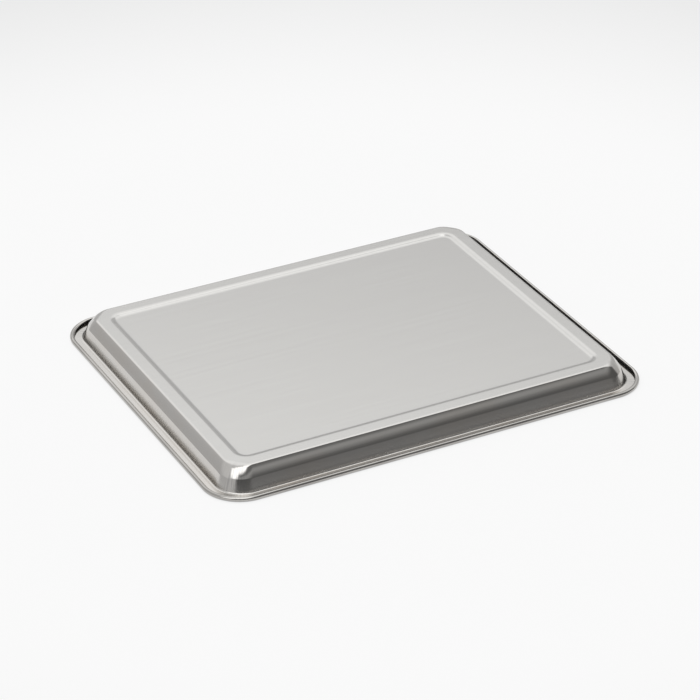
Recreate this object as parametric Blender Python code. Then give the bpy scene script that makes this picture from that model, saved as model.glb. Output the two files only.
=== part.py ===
"""Pharmacy tray: one pressed stainless steel pan with a wire rolled into its rim.

The tray stands upside down, rim on the surface and base up. X runs along its
length, Y across its width and Z up. Every size is in metres.
"""
import math

import bmesh
import bpy

# Outline of the tray, measured over the rolled rim.
LENGTH = 0.325
WIDTH = 0.265
HEIGHT = 0.0164
RIM_CORNER = 0.0275

# Sheet and rolled rim.
SHEET = 0.0006
BEAD_RADIUS = 0.00158
CLOSED_TURN = 295
OPEN_TURN = 205
WIRE_CLEARANCE = 0.0003
WIRE_BUTT_GAP = 0.0006

# Wall, from the flat rim up to the base: steep below, then a bend, then a shallower bulging
# shoulder, then the edge of the base. A tilt of 90 degrees is upright.
FOOT_INSET = 0.0079
FOOT_RADIUS = 0.0012
WALL_TILT = 68
BEND_RADIUS = 0.005
SHOULDER_TILT = 59.5
SHOULDER_RADIUS = 0.046
EDGE_TILT = 50
EDGE_RADIUS = 0.0020
CORNER_EDGE_RADIUS = 0.006
CORNER_TIGHTENING = 0.6

# Sunken middle of the base, with an S-shaped step around it.
STEP_INSET = 0.0282
STEP_WIDTH = 0.0048
STEP_DEPTH = 0.0015
STEP_CORNER = 0.008

# Facets of each round stretch.
CORNER_FACETS = 10
BEAD_FACETS = 14
FOOT_FACETS = 5
BEND_FACETS = 2
SHOULDER_FACETS = 3
EDGE_FACETS = 7
STEP_FACETS = 4
SHARP_ANGLE = 40


def clear_scene():
    for obj in list(bpy.data.objects):
        bpy.data.objects.remove(obj, do_unlink=True)


def steel(name, colour, roughness):
    material = bpy.data.materials.new(name)
    material.use_nodes = True
    shader = material.node_tree.nodes["Principled BSDF"]
    shader.inputs["Base Color"].default_value = (*colour, 1.0)
    shader.inputs["Metallic"].default_value = 1.0
    shader.inputs["Roughness"].default_value = roughness
    material.diffuse_color = (*colour, 1.0)
    return material


def add_line(path, length):
    """Extend a path of (inset, height, heading) points straight on."""
    inset, height, heading = path[-1]
    path.append((inset + length * math.cos(heading), height + length * math.sin(heading), heading))


def add_arc(path, radius, degrees, facets):
    """Extend a path round an arc, to the left for positive degrees."""
    inset, height, heading = path[-1]
    side = math.copysign(1.0, degrees)
    centre_inset = inset - side * radius * math.sin(heading)
    centre_height = height + side * radius * math.cos(heading)
    for facet in range(1, facets + 1):
        angle = heading + math.radians(degrees) * facet / facets
        path.append((centre_inset + side * radius * math.sin(angle),
                     centre_height - side * radius * math.cos(angle), angle))


def sheet_path(edge_radius, bead_turn):
    """Middle of the sheet in section, from the end of the roll to the sunken base."""
    half = SHEET / 2
    start = math.radians(270 - bead_turn)
    bead_middle = BEAD_RADIUS - half
    path = [(BEAD_RADIUS + bead_middle * math.cos(start),
             BEAD_RADIUS + bead_middle * math.sin(start), start + math.pi / 2)]
    add_arc(path, bead_middle, bead_turn, BEAD_FACETS)
    add_line(path, FOOT_INSET - path[-1][0])
    add_arc(path, FOOT_RADIUS + half, WALL_TILT, FOOT_FACETS)

    # The shoulder's centre keeps its place round the tray, and the edge radius blends into it.
    wall = math.radians(WALL_TILT)
    shoulder = math.radians(SHOULDER_TILT)
    centre_drop = EDGE_RADIUS + (SHOULDER_RADIUS - EDGE_RADIUS) * math.cos(math.radians(EDGE_TILT))
    bend_top = HEIGHT - centre_drop + (SHOULDER_RADIUS - half) * math.cos(shoulder)
    wall_top = bend_top - (BEND_RADIUS - half) * (math.cos(shoulder) - math.cos(wall))
    add_line(path, (wall_top - path[-1][1]) / math.sin(wall))
    add_arc(path, BEND_RADIUS - half, SHOULDER_TILT - WALL_TILT, BEND_FACETS)
    tilt = math.degrees(math.acos((centre_drop - edge_radius) / (SHOULDER_RADIUS - edge_radius)))
    add_arc(path, SHOULDER_RADIUS - half, tilt - SHOULDER_TILT, SHOULDER_FACETS)
    add_arc(path, edge_radius - half, -tilt, EDGE_FACETS)

    # Two equal arcs make the step: one turns down, the other turns level again.
    add_line(path, STEP_INSET - STEP_WIDTH / 2 - path[-1][0])
    step_tilt = 2 * math.atan(STEP_DEPTH / STEP_WIDTH)
    step_radius = STEP_WIDTH / 2 / math.sin(step_tilt)
    add_arc(path, step_radius, -math.degrees(step_tilt), STEP_FACETS)
    add_arc(path, step_radius, math.degrees(step_tilt), STEP_FACETS)
    return path


def sheet_section(edge_radius, bead_turn):
    """Upper face of the sheet from the base out to the roll, then its lower face back again."""
    path = sheet_path(edge_radius, bead_turn)
    half = SHEET / 2
    upper = [(inset - half * math.sin(a), height + half * math.cos(a)) for inset, height, a in path]
    lower = [(inset + half * math.sin(a), height - half * math.cos(a)) for inset, height, a in path]
    return upper[::-1] + lower


def plan_radius(inset):
    """Corner radius of the outline at an inset: even width on the rim and step, less tight on the wall."""
    step_outside = STEP_INSET - STEP_WIDTH / 2 - SHEET
    if inset < FOOT_INSET:
        return RIM_CORNER - inset
    if inset < step_outside:
        return RIM_CORNER - FOOT_INSET - CORNER_TIGHTENING * (inset - FOOT_INSET)
    return STEP_CORNER + STEP_INSET - inset


def stations():
    """Angles round the outline: (quadrant start, angle within the corner), corner by corner."""
    for quadrant in range(4):
        for facet in range(CORNER_FACETS + 1):
            yield quadrant, math.pi / 2 * facet / CORNER_FACETS


def outline_point(quadrant, turn, inset, height):
    """Point at an inset from the rim, in one corner of the outline."""
    radius = plan_radius(inset)
    angle = quadrant * math.pi / 2 + turn
    side_x = math.copysign(1.0, math.cos(quadrant * math.pi / 2 + math.pi / 4))
    side_y = math.copysign(1.0, math.sin(quadrant * math.pi / 2 + math.pi / 4))
    return (side_x * (LENGTH / 2 - inset - radius) + radius * math.cos(angle),
            side_y * (WIDTH / 2 - inset - radius) + radius * math.sin(angle), height)


def section_at(quadrant, turn):
    """Section of the sheet in a corner: blunter edge there, and a roll that opens towards +X +Y."""
    rounding = (CORNER_EDGE_RADIUS - EDGE_RADIUS) * math.sin(2 * turn) ** 2
    angle = quadrant * math.pi / 2 + turn
    opening = min(max((1 + math.cos(angle) + math.sin(angle)) / 2, 0.0), 1.0)
    return sheet_section(EDGE_RADIUS + rounding, CLOSED_TURN + (OPEN_TURN - CLOSED_TURN) * opening)


def finish(name, bm, material):
    bmesh.ops.recalc_face_normals(bm, faces=bm.faces)
    mesh = bpy.data.meshes.new(name)
    bm.to_mesh(mesh)
    bm.free()
    mesh.shade_smooth()
    mesh.set_sharp_from_angle(angle=math.radians(SHARP_ANGLE))
    mesh.materials.append(material)
    obj = bpy.data.objects.new(name, mesh)
    bpy.context.scene.collection.objects.link(obj)
    return obj


def extrude_ring(bm, ring, places):
    """Extrude a closed ring of vertices and move each new one to its place."""
    edges = [bm.edges.get(pair) for pair in zip(ring, ring[1:] + ring[:1])]
    extruded = bmesh.ops.extrude_edge_only(bm, edges=edges)["geom"]
    new_verts = {item for item in extruded if isinstance(item, bmesh.types.BMVert)}
    new_ring = []
    for vert, place in zip(ring, places):
        neighbours = [edge.other_vert(vert) for edge in vert.link_edges]
        moved = next(neighbour for neighbour in neighbours if neighbour in new_verts)
        moved.co = place
        new_ring.append(moved)
    return new_ring


def make_pan(material):
    """Pressed sheet: the flat middle of the base, extruded ring by ring to the roll and back."""
    columns = []
    for quadrant, turn in stations():
        columns.append([outline_point(quadrant, turn, *point) for point in section_at(quadrant, turn)])
    rings = list(zip(*columns))

    bm = bmesh.new()
    ring = [bm.verts.new(place) for place in rings[0]]
    bm.faces.new(ring)
    for places in rings[1:]:
        ring = extrude_ring(bm, ring, places)
    bm.faces.new(ring)
    return finish("tray_pan", bm, material)


def make_rim_wire(material):
    """Round wire inside the roll, bent to the rim's outline with its ends butted at the back."""
    bead_hollow = BEAD_RADIUS - SHEET
    points = [outline_point(quadrant, turn, BEAD_RADIUS, BEAD_RADIUS) for quadrant, turn in stations()]
    back = WIDTH / 2 - BEAD_RADIUS
    ends = [(side * WIRE_BUTT_GAP / 2, back, BEAD_RADIUS) for side in (-1, 1)]
    first_corner = CORNER_FACETS + 1
    route = [ends[0]] + points[first_corner:] + points[:first_corner] + [ends[1]]

    curve = bpy.data.curves.new("rim_wire", "CURVE")
    curve.dimensions = "3D"
    curve.bevel_depth = bead_hollow - WIRE_CLEARANCE
    curve.bevel_resolution = 3
    curve.use_fill_caps = True
    spline = curve.splines.new("POLY")
    spline.points.add(len(route) - 1)
    for point, place in zip(spline.points, route):
        point.co = (*place, 1.0)
    curve.materials.append(material)
    wire = bpy.data.objects.new("rim_wire", curve)
    bpy.context.scene.collection.objects.link(wire)
    return wire


def main():
    clear_scene()
    make_pan(steel("stainless_sheet", (0.60, 0.59, 0.575), 0.30))
    make_rim_wire(steel("steel_wire", (0.10, 0.095, 0.09), 0.50))


main()
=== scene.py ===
"""Stainless steel pharmacy tray, standing upside down on a pale studio floor."""
import math

import bmesh
import bpy
from mathutils import Matrix, Vector


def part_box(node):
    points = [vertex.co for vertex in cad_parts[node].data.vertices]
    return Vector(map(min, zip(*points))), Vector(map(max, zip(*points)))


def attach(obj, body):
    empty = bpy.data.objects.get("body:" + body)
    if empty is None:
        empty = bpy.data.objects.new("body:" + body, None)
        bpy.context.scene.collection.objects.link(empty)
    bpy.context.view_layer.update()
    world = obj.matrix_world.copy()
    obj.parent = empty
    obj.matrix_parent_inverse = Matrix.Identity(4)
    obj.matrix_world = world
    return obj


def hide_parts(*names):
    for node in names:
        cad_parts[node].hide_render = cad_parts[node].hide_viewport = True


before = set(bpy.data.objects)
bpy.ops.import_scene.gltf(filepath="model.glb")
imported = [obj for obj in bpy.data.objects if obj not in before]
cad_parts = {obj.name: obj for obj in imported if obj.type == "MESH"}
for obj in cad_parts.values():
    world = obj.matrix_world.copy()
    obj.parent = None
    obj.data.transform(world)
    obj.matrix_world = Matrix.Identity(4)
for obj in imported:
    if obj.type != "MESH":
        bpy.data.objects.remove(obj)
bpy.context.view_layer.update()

MM = 0.001

# Outline and height of the tray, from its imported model.
pan_low, pan_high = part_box("tray_pan")
LENGTH = pan_high[0] - pan_low[0]
WIDTH = pan_high[1] - pan_low[1]
HEIGHT = pan_high[2] - pan_low[2]

# Section and corner sizes, as the tray is designed.
RIM_CORNER = 27.5 * MM
SHEET = 0.6 * MM
BEAD_RADIUS = 1.58 * MM
CLOSED_TURN = 295
OPEN_TURN = 205
FOOT_INSET = 7.9 * MM
FOOT_RADIUS = 1.2 * MM
WALL_TILT = 68
BEND_RADIUS = 5 * MM
SHOULDER_TILT = 59.5
SHOULDER_RADIUS = 46 * MM
EDGE_TILT = 50
EDGE_RADIUS = 2.0 * MM
CORNER_EDGE_RADIUS = 6 * MM
CORNER_TIGHTENING = 0.6
STEP_INSET = 28.2 * MM
STEP_WIDTH = 4.8 * MM
STEP_DEPTH = 1.5 * MM
STEP_CORNER = 8 * MM
PANEL_MARGIN = 1 * MM

# Facets of each stretch, and the angle above which an edge stays sharp.
CORNER_FACETS = 36
LONG_FACETS = 24
SHORT_FACETS = 20
BEAD_FACETS = 36
FLAT_FACETS = 8
FOOT_FACETS = 14
WALL_FACETS = 12
BEND_FACETS = 8
SHOULDER_FACETS = 10
EDGE_FACETS = 24
STEP_FACETS = 14
SHARP_ANGLE = 40

# Colours of the pan: steel along its grain, the tint and marks on it, and the painted shade in its roll.
STEEL_DARK = (0.584, 0.576, 0.560, 1)
STEEL_LIGHT = (0.624, 0.617, 0.602, 1)
STEEL_BROWN = (0.598, 0.572, 0.540, 1)
STEEL_WORN = (0.42, 0.415, 0.405, 1)
STEEL_SCRATCHED = (0.72, 0.72, 0.71, 1)
STEEL_DULL = (0.400, 0.388, 0.370, 1)
# Near black: painted shade inside the roll.
ROLL_PAINTED_SHADE = (0.045, 0.043, 0.040, 1)

# Colours of the wire: dark oxide, kept near black as painted shade inside the roll.
OXIDE_THICK_AND_SHADE = (0.050, 0.047, 0.044, 1)
OXIDE_THIN_AND_SHADE = (0.115, 0.105, 0.095, 1)

# Noises, as spots per metre along X, Y and Z.
GRAIN_SPOTS = (30, 2400, 2400)
STREAK_SPOTS = (7, 330, 330)
CLOUD_SPOTS = (24, 24, 60)
SMEAR_SPOTS = (14, 60, 60)
WAVE_SPOTS = (35, 35, 35)
PATCH_SPOTS = (220, 220, 220)
SPECK_SPOTS = (2600, 2600, 2600)

# Noises laid round the tray: spots in one lap of it, none inwards, and spots per metre up the wall.
PRESSED_SPOTS = (9, 1, 420)
DRAWN_SPOTS = (165, 1, 40)

# Smears' direction in degrees. Scratches: direction, and spots per metre along and across it.
SMEAR_DIRECTION = 28
SCRATCHES = ((17, 18, 1500), (-52, 24, 1700))

# Painted shade in the roll: how far towards +X +Y it begins and is at its darkest, and its least amount.
ROLL_SHADE_START = -0.06
ROLL_SHADE_FULL = 0.05
ROLL_SHADE_LEAST = 0.12

# Roughness of the steel before its grain and marks add to it.
BASE_ROUGHNESS = 0.165
WALL_ROUGHNESS = 0.08

# Depth of each relief, from its noise's lowest to its highest.
GRAIN_DEPTH = 0.0006 * MM
PRESSED_DEPTH = 0.012 * MM
DRAWN_DEPTH = 0.035 * MM
WAVE_DEPTH = 0.025 * MM
OXIDE_DEPTH = 0.01 * MM

# Floor: its size, its brightness by the tray, right against the rim in a painted contact shadow and far
# away in a painted falloff of light, and how far from the tray's middle it begins to fade and has faded.
FLOOR_SIZE = 24
FLOOR_COLOUR = (0.2, 0.2, 0.2, 1)
FLOOR_GLOW = 0.765
CONTACT_SHADOW_GLOW = 0.16
CONTACT_SHADOW_WIDTH = 0.2 * MM
FAR_FALLOFF_GLOW = 0.56
FADE_START = 0.35
FADE_END = 0.95

# Directions in the studio are azimuths clockwise from +Y, with the far wall straight away from the
# camera. Its low edge leans: it is lower at the left. Steps are dot products with a direction.
FAR_AZIMUTH = 27.5
FAR_LEAN = 0.15
FAR_RISE = (0.40, 0.56)
FAR_TO_RIGHT = (0.05, 0.45)

# Elevations between which the other walls change.
LEFT_RISE = (8, 26)
RIGHT_RISE = (12, 37)
MIDDLE_RISE = (24, 36)
HIGH_RISE = (36, 40.5)

# Round regions of the studio, as azimuth, elevation, radius and softness.
LEFT_BY_FAR = (-78, 0, 46, 12)
LEFT_SIDE = (-78, 20, 46, 14)
PANEL_REGION = (75, 76, 16, 3)
GAP_REGION = (121, 61, 6, 3)
CAMERA_SIDE = (163.5, 0, 66, 4)
CAMERA_SIDE_PATCH = (154, 0, 16, 9)
LEFT_SOFTBOX = (-115, 47, 15, 4)
HIGH_SOFTBOX = (-150, 66, 22, 3)

# Brightness of each part of the studio: one level, or a pair that it changes between.
BACKDROP = 0.77
FAR_WALL = (0.63, 1.20)
LEFT_WALL = (0.56, 0.74)
RIGHT_WALL = (0.45, 0.78)
CAMERA_SIDE_LOW = (0.12, 0.20)
CAMERA_SIDE_MIDDLE = 0.40
CAMERA_SIDE_HIGH = 0.17
CEILING_PANEL = 1.42
CEILING_GAP = 0.15
SOFTBOX = 1.9

# Camera: its azimuth from -Y towards +X, elevation and roll in degrees, its distance and shifts in
# metres, and its sensor and lens in millimetres.
CAMERA_AZIMUTH = -27.53
CAMERA_ELEVATION = 29.91
CAMERA_ROLL = -0.18
CAMERA_DISTANCE = 2.042
CAMERA_SHIFT_RIGHT = -0.00067
CAMERA_SHIFT_UP = 0.00545
CAMERA_SENSOR = 36
CAMERA_LENS = 152.54


# ---------------------------------------------------------------- section of the sheet

def add_line(path, length, facets=1):
    """Extend a path of (inset, height, heading) points straight on."""
    inset, height, heading = path[-1]
    for facet in range(1, facets + 1):
        reach = length * facet / facets
        path.append((inset + reach * math.cos(heading), height + reach * math.sin(heading), heading))


def add_arc(path, radius, degrees, facets):
    """Extend a path round an arc, to the left for positive degrees."""
    inset, height, heading = path[-1]
    side = math.copysign(1.0, degrees)
    centre_inset = inset - side * radius * math.sin(heading)
    centre_height = height + side * radius * math.cos(heading)
    for facet in range(1, facets + 1):
        angle = heading + math.radians(degrees) * facet / facets
        path.append((centre_inset + side * radius * math.sin(angle),
                     centre_height - side * radius * math.cos(angle), angle))


def sheet_path(edge_radius, bead_turn):
    """Middle of the sheet, as (inset, height, heading), from the end of the roll to the base."""
    half = SHEET / 2
    start = math.radians(270 - bead_turn)
    bead_middle = BEAD_RADIUS - half
    path = [(BEAD_RADIUS + bead_middle * math.cos(start),
             BEAD_RADIUS + bead_middle * math.sin(start), start + math.pi / 2)]
    add_arc(path, bead_middle, bead_turn, BEAD_FACETS)
    add_line(path, FOOT_INSET - path[-1][0], FLAT_FACETS)
    add_arc(path, FOOT_RADIUS + half, WALL_TILT, FOOT_FACETS)

    # The shoulder's centre keeps its place round the tray, and the edge radius blends into it.
    wall = math.radians(WALL_TILT)
    shoulder = math.radians(SHOULDER_TILT)
    centre_drop = EDGE_RADIUS + (SHOULDER_RADIUS - EDGE_RADIUS) * math.cos(math.radians(EDGE_TILT))
    bend_top = HEIGHT - centre_drop + (SHOULDER_RADIUS - half) * math.cos(shoulder)
    wall_top = bend_top - (BEND_RADIUS - half) * (math.cos(shoulder) - math.cos(wall))
    add_line(path, (wall_top - path[-1][1]) / math.sin(wall), WALL_FACETS)
    add_arc(path, BEND_RADIUS - half, SHOULDER_TILT - WALL_TILT, BEND_FACETS)
    tilt = math.degrees(math.acos((centre_drop - edge_radius) / (SHOULDER_RADIUS - edge_radius)))
    add_arc(path, SHOULDER_RADIUS - half, tilt - SHOULDER_TILT, SHOULDER_FACETS)
    add_arc(path, edge_radius - half, -tilt, EDGE_FACETS)

    # Two equal arcs make the step. The flat margin keeps the big panel's edge normals upright.
    add_line(path, STEP_INSET - STEP_WIDTH / 2 - path[-1][0], FLAT_FACETS)
    step_tilt = 2 * math.atan(STEP_DEPTH / STEP_WIDTH)
    step_radius = STEP_WIDTH / 2 / math.sin(step_tilt)
    add_arc(path, step_radius, -math.degrees(step_tilt), STEP_FACETS)
    add_arc(path, step_radius, math.degrees(step_tilt), STEP_FACETS)
    add_line(path, PANEL_MARGIN)
    return path


def sheet_section(edge_radius, bead_turn):
    """Upper face from the base out to the roll, then the lower face back again."""
    path = sheet_path(edge_radius, bead_turn)
    half = SHEET / 2
    upper = [(inset - half * math.sin(a), height + half * math.cos(a)) for inset, height, a in path]
    lower = [(inset + half * math.sin(a), height - half * math.cos(a)) for inset, height, a in path]
    return upper[::-1] + lower


def plan_radius(inset):
    """Corner radius of the outline at an inset: even width on the rim and step, less tight on the wall."""
    step_outside = STEP_INSET - STEP_WIDTH / 2 - SHEET
    if inset < FOOT_INSET:
        return RIM_CORNER - inset
    if inset < step_outside:
        return RIM_CORNER - FOOT_INSET - CORNER_TIGHTENING * (inset - FOOT_INSET)
    return STEP_CORNER + STEP_INSET - inset


def outline_point(quadrant, turn, inset, height):
    """Point at an inset from the rim, in one corner of the outline."""
    radius = plan_radius(inset)
    angle = quadrant * math.pi / 2 + turn
    side_x = math.copysign(1.0, math.cos(quadrant * math.pi / 2 + math.pi / 4))
    side_y = math.copysign(1.0, math.sin(quadrant * math.pi / 2 + math.pi / 4))
    return Vector((side_x * (LENGTH / 2 - inset - radius) + radius * math.cos(angle),
                   side_y * (WIDTH / 2 - inset - radius) + radius * math.sin(angle), height))


def station_points(quadrant, turn):
    """Section in a corner, in its place: blunter edge there, and a roll that opens towards +X +Y."""
    rounding = (CORNER_EDGE_RADIUS - EDGE_RADIUS) * math.sin(2 * turn) ** 2
    angle = quadrant * math.pi / 2 + turn
    opening = min(max((1 + math.cos(angle) + math.sin(angle)) / 2, 0.0), 1.0)
    section = sheet_section(EDGE_RADIUS + rounding, CLOSED_TURN + (OPEN_TURN - CLOSED_TURN) * opening)
    return [outline_point(quadrant, turn, *point) for point in section]


def pan_columns():
    """Section points at every station round the outline, each station with how far it is a corner."""
    columns = []
    for quadrant in range(4):
        for facet in range(CORNER_FACETS + 1):
            turn = math.pi / 2 * facet / CORNER_FACETS
            columns.append((math.sin(2 * turn) ** 2, station_points(quadrant, turn)))
        facets = LONG_FACETS if quadrant % 2 == 0 else SHORT_FACETS
        here = station_points(quadrant, math.pi / 2)
        there = station_points((quadrant + 1) % 4, 0.0)
        for facet in range(1, facets):
            columns.append((0.0, [a.lerp(b, facet / facets) for a, b in zip(here, there)]))
    return columns


def section_traits():
    """How far each section point is in the roll, on its outside, at the foot, and on wall or rim."""
    bead_points = BEAD_FACETS + 1
    rim_points = bead_points + FLAT_FACETS
    polish = [1.0] * (rim_points + FOOT_FACETS + WALL_FACETS + BEND_FACETS + SHOULDER_FACETS)
    polish += [1 - facet / EDGE_FACETS for facet in range(1, EDGE_FACETS + 1)]
    polish += [0.0] * (FLAT_FACETS + 2 * STEP_FACETS + 1)

    # The roll's inside ends softly at the flat rim, and its outside begins softly, over a third.
    hollow = [1.0] * bead_points + [0.5]
    bead = [min(3 * facet / BEAD_FACETS, 1.0) for facet in range(bead_points)]

    # The foot is strongest where the wall begins.
    foot = [0.0] * rim_points
    foot += [facet / FOOT_FACETS for facet in range(1, FOOT_FACETS + 1)]
    foot += [1 - facet / WALL_FACETS for facet in range(1, WALL_FACETS + 1)]

    for values in (hollow, bead, foot):
        values += [0.0] * (len(polish) - len(values))
    other_face = [0.0] * len(polish)
    return {"hollow": hollow[::-1] + other_face, "bead": other_face + bead,
            "foot": foot[::-1] + foot, "polish": polish[::-1] + polish}


def make_pan():
    """Pan as a net of section columns, with flat panels across the sunken middle."""
    columns = pan_columns()
    traits = section_traits()
    bm = bmesh.new()
    layers = {name: bm.verts.layers.float.new(name) for name in (*traits, "corner", "around")}
    grid = []
    for station, (cornering, column) in enumerate(columns):
        verts = [bm.verts.new(point) for point in column]
        for place, vert in enumerate(verts):
            for name, values in traits.items():
                vert[layers[name]] = values[place]
            vert[layers["corner"]] = cornering
            vert[layers["around"]] = station / len(columns)
        grid.append(verts)
    for column, following in zip(grid, grid[1:] + grid[:1]):
        for i in range(len(column) - 1):
            bm.faces.new((column[i], following[i], following[i + 1], column[i + 1]))
    bm.faces.new([column[0] for column in grid])
    bm.faces.new([column[-1] for column in grid])
    bmesh.ops.recalc_face_normals(bm, faces=bm.faces)
    mesh = bpy.data.meshes.new("pan_sheet")
    bm.to_mesh(mesh)
    bm.free()
    mesh.shade_smooth()
    mesh.set_sharp_from_angle(angle=math.radians(SHARP_ANGLE))
    pan = bpy.data.objects.new("pan_sheet", mesh)
    bpy.context.scene.collection.objects.link(pan)
    return pan


# ---------------------------------------------------------------- node helpers

def feed(tree, socket, value):
    """Set a socket to a number or colour, or link another node's output to it."""
    if isinstance(value, bpy.types.NodeSocket):
        tree.links.new(value, socket)
    else:
        socket.default_value = value


def smooth_step(tree, value, low, high, start=0.0, end=1.0):
    """Smooth ramp from start, where the value is low, to end, where it is high."""
    node = tree.nodes.new("ShaderNodeMapRange")
    node.interpolation_type = "SMOOTHSTEP"
    node.inputs["From Min"].default_value = low
    node.inputs["From Max"].default_value = high
    node.inputs["To Min"].default_value = start
    node.inputs["To Max"].default_value = end
    tree.links.new(value, node.inputs["Value"])
    return node.outputs["Result"]


def mix(tree, factor, low, high):
    """Blend from low to high, each a number or another node's output."""
    node = tree.nodes.new("ShaderNodeMix")
    for name, value in (("Factor", factor), ("A", low), ("B", high)):
        feed(tree, node.inputs[name], value)
    return node.outputs["Result"]


def mix_colour(tree, factor, low, high):
    node = tree.nodes.new("ShaderNodeMix")
    node.data_type = "RGBA"
    feed(tree, node.inputs["Factor"], factor)
    colours = [socket for socket in node.inputs if socket.type == "RGBA"]
    for socket, value in zip(colours, (low, high)):
        feed(tree, socket, value)
    return next(socket for socket in node.outputs if socket.type == "RGBA")


def combine(tree, operation, first, second):
    node = tree.nodes.new("ShaderNodeMath")
    node.operation = operation
    feed(tree, node.inputs[0], first)
    feed(tree, node.inputs[1], second)
    return node.outputs["Value"]


def vector_step(tree, operation, vector, other=None, output="Vector"):
    node = tree.nodes.new("ShaderNodeVectorMath")
    node.operation = operation
    feed(tree, node.inputs[0], vector)
    if other is not None:
        feed(tree, node.inputs[1], other)
    return node.outputs[output]


def grey(tree, value):
    node = tree.nodes.new("ShaderNodeCombineColor")
    for channel in ("Red", "Green", "Blue"):
        tree.links.new(value, node.inputs[channel])
    return node.outputs["Color"]


def object_place(tree):
    return tree.nodes.new("ShaderNodeTexCoord").outputs["Object"]


def trait(tree, name):
    node = tree.nodes.new("ShaderNodeAttribute")
    node.attribute_name = name
    return node.outputs["Fac"]


def noise(tree, place, per_metre, detail=2.0):
    """Soft noise with the given number of spots per metre along X, Y and Z."""
    node = tree.nodes.new("ShaderNodeTexNoise")
    node.inputs["Scale"].default_value = 1.0
    node.inputs["Detail"].default_value = detail
    tree.links.new(vector_step(tree, "MULTIPLY", place, per_metre), node.inputs["Vector"])
    return node.outputs["Fac"]


def turned(tree, place, degrees):
    node = tree.nodes.new("ShaderNodeVectorRotate")
    node.rotation_type = "Z_AXIS"
    node.inputs["Angle"].default_value = math.radians(degrees)
    tree.links.new(place, node.inputs["Vector"])
    return node.outputs["Vector"]


def bump(tree, height, distance, normal=None):
    """Bump whose height noise of 0 to 1 stands for the given distance in metres."""
    node = tree.nodes.new("ShaderNodeBump")
    node.inputs["Strength"].default_value = 1.0
    node.inputs["Distance"].default_value = distance
    tree.links.new(height, node.inputs["Height"])
    if normal is not None:
        tree.links.new(normal, node.inputs["Normal"])
    return node.outputs["Normal"]


def metal(name):
    """New metal material, its node tree and its shader."""
    material = bpy.data.materials.new(name)
    material.use_nodes = True
    shader = material.node_tree.nodes["Principled BSDF"]
    shader.inputs["Metallic"].default_value = 1.0
    return material, material.node_tree, shader


# ---------------------------------------------------------------- materials

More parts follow.
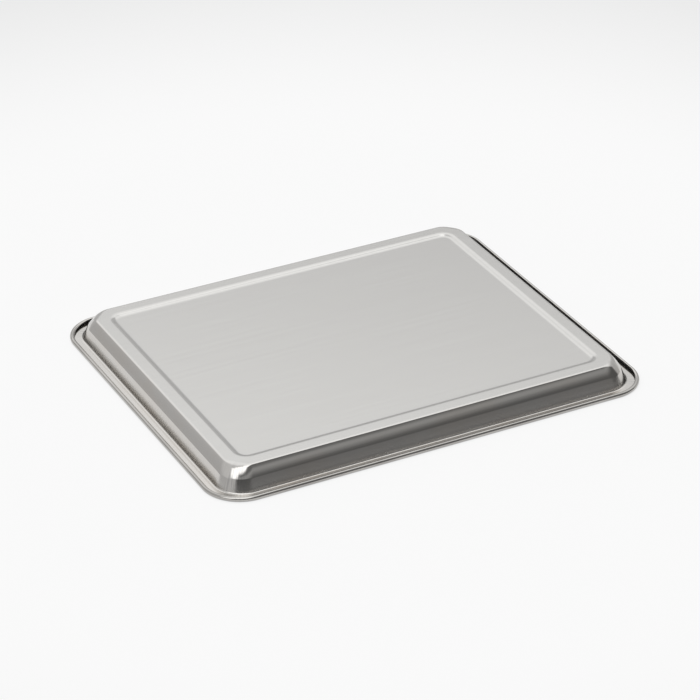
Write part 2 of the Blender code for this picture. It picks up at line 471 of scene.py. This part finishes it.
def satin_stainless():
    """Rolled stainless sheet: fine grain along X, satin base, smoother pressed wall and rim."""
    material, tree, shader = metal("satin_stainless")
    place = object_place(tree)
    polish = trait(tree, "polish")
    corner = trait(tree, "corner")
    hollow = trait(tree, "hollow")

    # Painted shade in the roll, dark only where it stands open, towards +X +Y.
    diagonal = vector_step(tree, "DOT_PRODUCT", place, (1.0, 1.0, 0.0), "Value")
    roll_shade_side = smooth_step(tree, diagonal, ROLL_SHADE_START, ROLL_SHADE_FULL, start=ROLL_SHADE_LEAST)

    grain = noise(tree, place, GRAIN_SPOTS, 3.0)
    streaks = noise(tree, place, STREAK_SPOTS, 2.0)
    clouds = noise(tree, place, CLOUD_SPOTS, 4.0)
    smears = noise(tree, turned(tree, place, SMEAR_DIRECTION), SMEAR_SPOTS, 3.0)
    smears = smooth_step(tree, smears, 0.52, 0.72)

    # Hairline scratches in two directions, a few of each.
    scratches = 0.0
    for degrees, lengthwise, crosswise in SCRATCHES:
        lines = noise(tree, turned(tree, place, degrees), (lengthwise, crosswise, crosswise), 0.0)
        scratches = combine(tree, "ADD", scratches, smooth_step(tree, lines, 0.76, 0.82))

    # Marks drawn down the corners as the sheet was pressed, only on the wall.
    around = tree.nodes.new("ShaderNodeCombineXYZ")
    tree.links.new(trait(tree, "around"), around.inputs["X"])
    height = tree.nodes.new("ShaderNodeSeparateXYZ")
    tree.links.new(place, height.inputs["Vector"])
    tree.links.new(height.outputs["Z"], around.inputs["Z"])
    drawn = noise(tree, around.outputs["Vector"], DRAWN_SPOTS, 3.0)
    drawn_here = combine(tree, "MULTIPLY", corner, polish)
    pressed = noise(tree, around.outputs["Vector"], PRESSED_SPOTS, 2.0)

    # Colour: warm grey steel, a little lighter and darker along the grain, browner on the wall.
    shade = combine(tree, "ADD", combine(tree, "MULTIPLY", grain, 0.35),
                    combine(tree, "MULTIPLY", streaks, 0.65))
    colour = mix_colour(tree, shade, STEEL_DARK, STEEL_LIGHT)
    brown = combine(tree, "MULTIPLY", smooth_step(tree, clouds, 0.42, 0.66, start=0.45), polish)
    worn = combine(tree, "MULTIPLY", drawn_here, smooth_step(tree, drawn, 0.45, 0.62, end=0.6))
    scratched = combine(tree, "MULTIPLY", scratches, 0.12)
    dull = smooth_step(tree, clouds, 0.35, 0.65, start=0.6)
    dull = combine(tree, "MULTIPLY", trait(tree, "bead"), dull)
    # Painted shade inside the roll, darkest where it stands open.
    roll_shade_amount = combine(tree, "MULTIPLY", hollow, roll_shade_side)
    marks = ((brown, STEEL_BROWN), (worn, STEEL_WORN), (scratched, STEEL_SCRATCHED),
             (dull, STEEL_DULL), (roll_shade_amount, ROLL_PAINTED_SHADE))
    for amount, mark_colour in marks:
        colour = mix_colour(tree, amount, colour, mark_colour)
    tree.links.new(colour, shader.inputs["Base Color"])

    # Roughness: satin base, smoother wall and rim, rougher foot and marks, matt inside the roll.
    rough = mix(tree, polish, BASE_ROUGHNESS, WALL_ROUGHNESS)
    added = ((trait(tree, "foot"), 0.16), (grain, 0.05), (clouds, 0.02), (smears, 0.015),
             (scratches, 0.03), (dull, 0.04), (hollow, 0.35))
    for part, amount in added:
        rough = combine(tree, "ADD", rough, combine(tree, "MULTIPLY", part, amount))
    tree.links.new(rough, shader.inputs["Roughness"])

    # Relief: the grain, waves left by pressing, drawn marks in the corners, and soft waves all over.
    normal = bump(tree, grain, GRAIN_DEPTH)
    normal = bump(tree, combine(tree, "MULTIPLY", pressed, polish), PRESSED_DEPTH, normal)
    normal = bump(tree, combine(tree, "MULTIPLY", drawn, drawn_here), DRAWN_DEPTH, normal)
    normal = bump(tree, noise(tree, place, WAVE_SPOTS, 1.0), WAVE_DEPTH, normal)
    tree.links.new(normal, shader.inputs["Normal"])
    return material


def oxide_wire_painted_shade():
    """Dark oxide skin on drawn wire, thinner and brighter in patches, kept near black as painted shade
    inside the roll.
    """
    material, tree, shader = metal("oxide_wire_painted_shade")
    place = object_place(tree)
    patches = smooth_step(tree, noise(tree, place, PATCH_SPOTS, 4.0), 0.50, 0.68)
    specks = noise(tree, place, SPECK_SPOTS, 3.0)
    # Near-black oxide colours, which are also painted shade inside the roll.
    colour = mix_colour(tree, patches, OXIDE_THICK_AND_SHADE, OXIDE_THIN_AND_SHADE)
    tree.links.new(colour, shader.inputs["Base Color"])
    rough = smooth_step(tree, specks, 0.3, 0.7, start=0.48, end=0.62)
    tree.links.new(rough, shader.inputs["Roughness"])
    tree.links.new(bump(tree, specks, OXIDE_DEPTH), shader.inputs["Normal"])
    return material


# ---------------------------------------------------------------- studio

def make_floor():
    """Pale floor that glows softly, less so far away and in the crease under the rim: a painted falloff of
    light and a painted contact shadow.
    """
    bpy.ops.mesh.primitive_plane_add(size=FLOOR_SIZE, location=(0, 0, 0))
    floor = bpy.context.object
    floor.name = "floor"
    material = bpy.data.materials.new("floor_white")
    material.use_nodes = True
    tree = material.node_tree
    shader = tree.nodes["Principled BSDF"]
    shader.inputs["Base Color"].default_value = FLOOR_COLOUR
    shader.inputs["Roughness"].default_value = 1.0
    shader.inputs["Specular IOR Level"].default_value = 0.0
    place = object_place(tree)

    # Distance outside the tray's outline: beyond the straight part of each side, less the radius.
    straight = Vector((LENGTH / 2 - RIM_CORNER, WIDTH / 2 - RIM_CORNER, 1.0))
    beyond = vector_step(tree, "SUBTRACT", vector_step(tree, "ABSOLUTE", place), straight)
    beyond = vector_step(tree, "MAXIMUM", beyond, (0, 0, 0))
    outside = combine(tree, "SUBTRACT", vector_step(tree, "LENGTH", beyond, output="Value"), RIM_CORNER)
    # Painted contact shadow: the glow is dimmer under the rim's bead and just outside it.
    glow_with_painted_shade = smooth_step(tree, outside, -BEAD_RADIUS, CONTACT_SHADOW_WIDTH, CONTACT_SHADOW_GLOW, FLOOR_GLOW)
    distance = vector_step(tree, "LENGTH", place, output="Value")
    # Painted falloff of light: the glow is dimmer far from the tray.
    glow_with_painted_shade = mix(tree, smooth_step(tree, distance, FADE_START, FADE_END), glow_with_painted_shade, FAR_FALLOFF_GLOW)
    tree.links.new(grey(tree, glow_with_painted_shade), shader.inputs["Emission Color"])
    shader.inputs["Emission Strength"].default_value = 1.0
    floor.data.materials.append(material)


def compass(azimuth, elevation):
    """Unit vector towards an azimuth, clockwise from +Y, and an elevation, in degrees."""
    a = math.radians(azimuth)
    e = math.radians(elevation)
    return Vector((math.sin(a) * math.cos(e), math.cos(a) * math.cos(e), math.sin(e)))


def make_world():
    """Studio as the steel mirrors it, behind a plain pale backdrop that only the camera sees."""
    world = bpy.data.worlds.new("studio")
    bpy.context.scene.world = world
    world.use_nodes = True
    tree = world.node_tree
    background = tree.nodes["Background"]
    where = tree.nodes.new("ShaderNodeTexCoord").outputs["Generated"]

    def along(direction, low, high):
        """Smooth step of the view direction's dot product with a direction."""
        return smooth_step(tree, vector_step(tree, "DOT_PRODUCT", where, direction, "Value"), low, high)

    def cap(azimuth, elevation, radius, softness):
        """One inside a cone round a direction, falling to zero over its soft edge; in degrees."""
        outer = math.cos(math.radians(radius + softness))
        inner = math.cos(math.radians(max(radius - softness, 0)))
        return along(compass(azimuth, elevation), outer, inner)

    def rising(low, high):
        """Zero below one elevation and one above another, in degrees."""
        return along(Vector((0, 0, 1)), math.sin(math.radians(low)), math.sin(math.radians(high)))

    # Walls: the far one brightens upwards, sooner at the left. The left and right ones are dimmer.
    leaning = (FAR_LEAN * compass(FAR_AZIMUTH - 90, 0) + compass(0, 90)).normalized()
    far = mix(tree, along(leaning, *FAR_RISE), *FAR_WALL)
    left = mix(tree, rising(*LEFT_RISE), *LEFT_WALL)
    right = mix(tree, rising(*RIGHT_RISE), *RIGHT_WALL)
    far = mix(tree, cap(*LEFT_BY_FAR), far, left)
    room = mix(tree, along(compass(FAR_AZIMUTH, 0), *FAR_TO_RIGHT), right, far)
    room = mix(tree, cap(*LEFT_SIDE), room, left)

    # Ceiling: a bright panel at the right, and a dark gap beside it.
    room = mix(tree, cap(*PANEL_REGION), room, CEILING_PANEL)
    room = mix(tree, cap(*GAP_REGION), room, CEILING_GAP)

    # Camera side: dark, with a grey band half way up.
    near = mix(tree, cap(*CAMERA_SIDE_PATCH), *CAMERA_SIDE_LOW)
    near = mix(tree, rising(*MIDDLE_RISE), near, CAMERA_SIDE_MIDDLE)
    near = mix(tree, rising(*HIGH_RISE), near, CAMERA_SIDE_HIGH)
    room = mix(tree, cap(*CAMERA_SIDE), room, near)

    # Two softboxes, one at the left and one high above the camera.
    room = mix(tree, cap(*LEFT_SOFTBOX), room, SOFTBOX)
    room = mix(tree, cap(*HIGH_SOFTBOX), room, SOFTBOX)
    camera_ray = tree.nodes.new("ShaderNodeLightPath").outputs["Is Camera Ray"]
    tree.links.new(grey(tree, mix(tree, camera_ray, room, BACKDROP)), background.inputs["Color"])
    background.inputs["Strength"].default_value = 1.0


def make_camera():
    """Camera aimed at the tray's middle, then shifted sideways and rolled."""
    azimuth = math.radians(CAMERA_AZIMUTH)
    elevation = math.radians(CAMERA_ELEVATION)
    roll = math.radians(CAMERA_ROLL)
    back = Vector((math.sin(azimuth) * math.cos(elevation),
                   -math.cos(azimuth) * math.cos(elevation), math.sin(elevation)))
    right = Vector((math.cos(azimuth), math.sin(azimuth), 0.0))
    up = back.cross(right)
    right, up = (math.cos(roll) * right + math.sin(roll) * up,
                 math.cos(roll) * up - math.sin(roll) * right)
    camera_data = bpy.data.cameras.new("camera")
    camera_data.sensor_width = CAMERA_SENSOR
    camera_data.lens = CAMERA_LENS
    camera = bpy.data.objects.new("camera", camera_data)
    place = back * CAMERA_DISTANCE + right * CAMERA_SHIFT_RIGHT + up * CAMERA_SHIFT_UP
    turn = Matrix((right, up, back)).transposed().to_4x4()
    camera.matrix_world = Matrix.Translation(place) @ turn
    bpy.context.scene.collection.objects.link(camera)
    bpy.context.scene.camera = camera


# ---------------------------------------------------------------- assembly

bpy.context.scene.view_settings.view_transform = "Standard"

pan = make_pan()
pan.data.materials.append(satin_stainless())
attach(pan, "root")
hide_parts("tray_pan")

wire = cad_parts["rim_wire"]
wire.data.materials.clear()
wire.data.materials.append(oxide_wire_painted_shade())

make_floor()
make_world()
make_camera()
